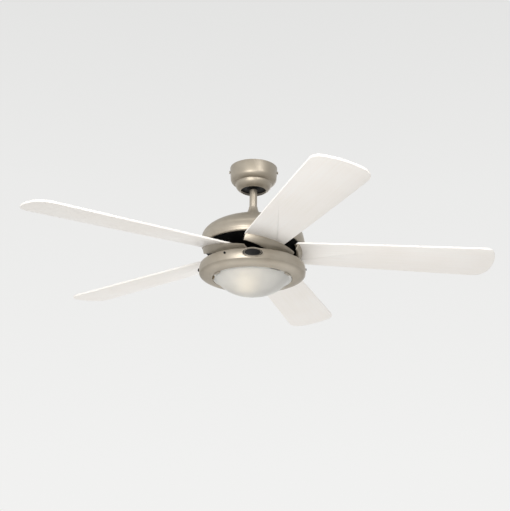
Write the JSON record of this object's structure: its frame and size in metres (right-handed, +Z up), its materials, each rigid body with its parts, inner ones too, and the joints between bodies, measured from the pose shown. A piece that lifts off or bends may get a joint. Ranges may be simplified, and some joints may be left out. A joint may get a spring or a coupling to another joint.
{
  "type": "ceiling fan with light",
  "caption": "Ceiling fan on a short downrod with broad flat blades between a domed metal housing and a light ring that holds a frosted glass bowl.",
  "frame": {"origin": "centre of the hanger bracket's top face, on the ceiling plane and the fan's axis", "axes": "+Z up into the ceiling; +X along blade_1, whose raised edge faces -Y; -Y is the side with the badge"},
  "size_m": [1.222, 1.2699, 0.3736],
  "materials": {
    "satin_nickel": "satin nickel lacquer",
    "white_blade": "painted board",
    "frosted_glass": "frosted",
    "opal_bulb": "opal",
    "zinc_steel": "zinc plated",
    "green_screw": "satin",
    "orange_plastic": "moulded",
    "black_plastic": "moulded",
    "black_steel": "black oxide",
    "fibre_washer": "fibre",
    "lamination_steel": "laminated",
    "copper_wire": "enamelled",
    "cast_aluminium": "as cast",
    "white_enamel": "gloss white",
    "porcelain": "glazed",
    "natural_nylon": "moulded"
  },
  "bodies": {
    "ceiling_mount": {"mounting_bracket": "black_steel", "earth_screw": "green_screw", "canopy": "satin_nickel", "canopy_screws": "satin_nickel", "wire_connectors": "orange_plastic"},
    "hanger": {"hanger_ball": "black_plastic", "ball_pin": "zinc_steel", "ball_set_screw": "black_steel", "downrod": "satin_nickel", "motor_coupling": "zinc_steel", "clevis_pin": "zinc_steel", "hitch_pin": "zinc_steel", "coupling_set_screws": "black_steel", "coupling_cover": "satin_nickel", "top_housing": "satin_nickel", "housing_screws": "satin_nickel", "motor_shaft": "zinc_steel", "bearing_inner_races": "zinc_steel", "stator_core": "lamination_steel", "stator_windings": "copper_wire", "light_plate": "white_enamel", "shaft_nut": "zinc_steel", "light_housing": "satin_nickel", "light_housing_screws": "black_steel", "badge": "black_plastic", "capacitor": "black_plastic", "plug_connector": "natural_nylon", "reverse_switch_body": "black_plastic", "lampholder_bracket": "zinc_steel", "lampholder": "porcelain", "bulb_cap": "zinc_steel", "bulb": "opal_bulb"},
    "rotor": {"bearing_balls": "zinc_steel", "bearing_outer_races": "zinc_steel", "rotor_ring": "lamination_steel", "rotor_top_shell": "cast_aluminium", "rotor_bottom_shell": "cast_aluminium", "rotor_screws": "zinc_steel", "rotor_cover": "black_plastic", "rotor_cover_screws": "black_steel", "blade_carrier_1": "satin_nickel", "blade_carrier_2": "satin_nickel", "blade_carrier_3": "satin_nickel", "blade_carrier_4": "satin_nickel", "blade_carrier_5": "satin_nickel", "carrier_screws": "zinc_steel", "blade_1": "white_blade", "blade_2": "white_blade", "blade_3": "white_blade", "blade_4": "white_blade", "blade_5": "white_blade", "blade_washers": "fibre_washer", "blade_screws": "zinc_steel"},
    "glass": {"glass_shade": "frosted_glass"},
    "switch_knob": {"reverse_switch_knob": "black_plastic"}
  },
  "joints": [
    {"name": "hanger_swing", "type": "hinge", "parent": "ceiling_mount", "child": "hanger", "pos_m": [0, 0, -0.042], "axis": [0, 1, 0], "range_deg": [-18, 18]},
    {"name": "rotor_spin", "type": "hinge", "parent": "hanger", "child": "rotor", "pos_m": [0, 0, -0.2551], "axis": [0, 0, 1], "continuous": true},
    {"name": "glass_twist", "type": "hinge", "parent": "hanger", "child": "glass", "pos_m": [0, 0, -0.3313], "axis": [0, 0, 1], "range_deg": [0, 25]},
    {"name": "reverse_slide", "type": "slide", "parent": "hanger", "child": "switch_knob", "axis": [0, 0, 1], "range_m": [0, 0.005]}
  ]
}
